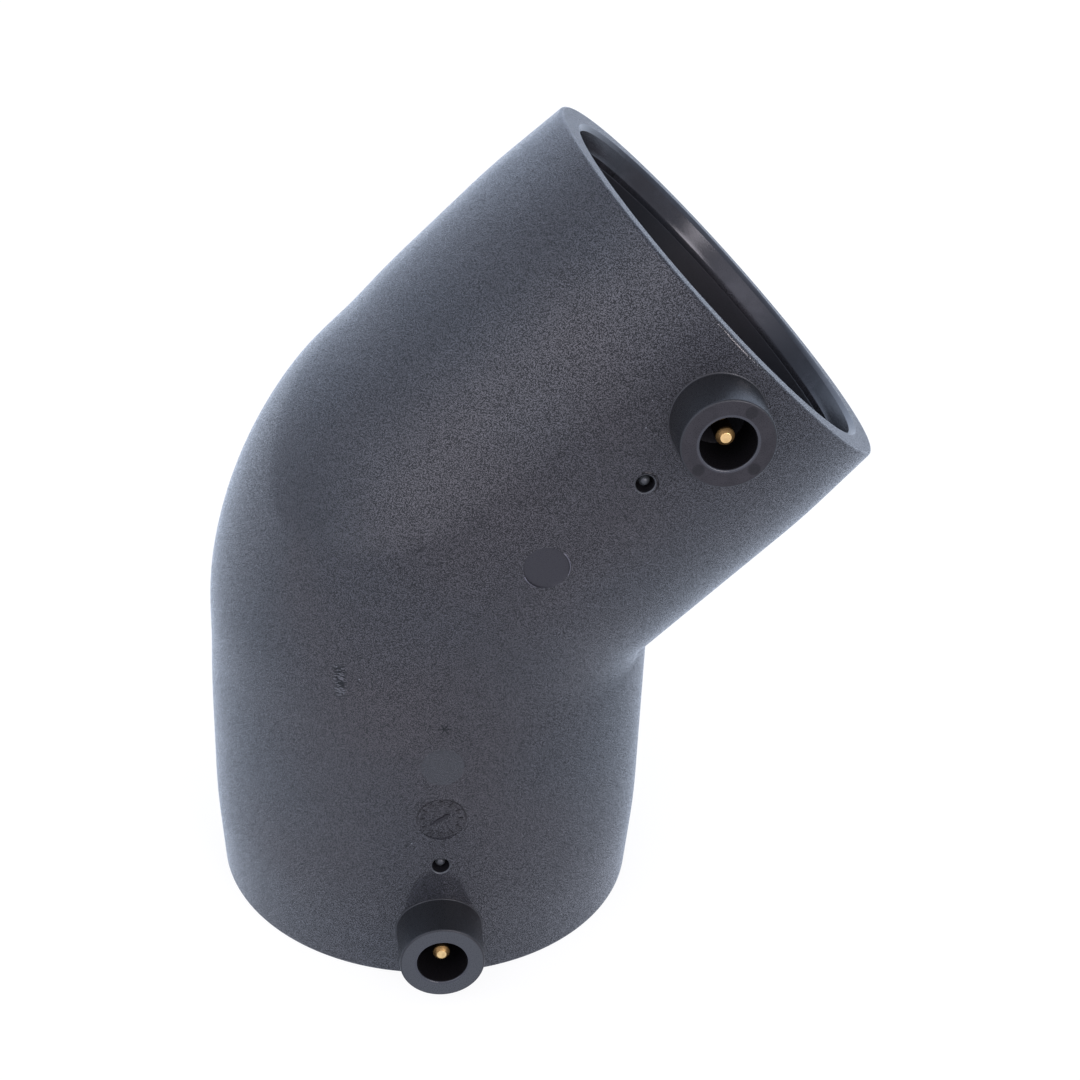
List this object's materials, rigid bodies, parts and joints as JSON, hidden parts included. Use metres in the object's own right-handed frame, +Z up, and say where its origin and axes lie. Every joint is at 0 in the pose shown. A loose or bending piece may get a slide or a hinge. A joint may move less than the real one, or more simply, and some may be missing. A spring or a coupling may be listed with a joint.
{
  "type": "electrofusion elbow",
  "caption": "45 degree electrofusion elbow for polyethylene pipe: two sockets with an embedded heating wire and a shrouded pin terminal beside each mouth.",
  "frame": {"origin": "centre of the lower mouth, on the plane that the elbow stands on", "axes": "+Z runs up the lower socket's axis, the upper socket leans 45 degrees to +X, and both terminals face -Y"},
  "size_m": [0.1589, 0.1205, 0.1981],
  "materials": {
    "moulded_polyethylene": "fine spark-eroded grain, smooth on the shrouds and in the sockets",
    "resistance_wire": "drawn wire",
    "terminal_brass": "bright turned"
  },
  "bodies": {
    "root": {"elbow_body": "moulded_polyethylene", "heating_wire": "resistance_wire", "lower_terminal_pin": "terminal_brass", "upper_terminal_pin": "terminal_brass"}
  },
  "joints": []
}
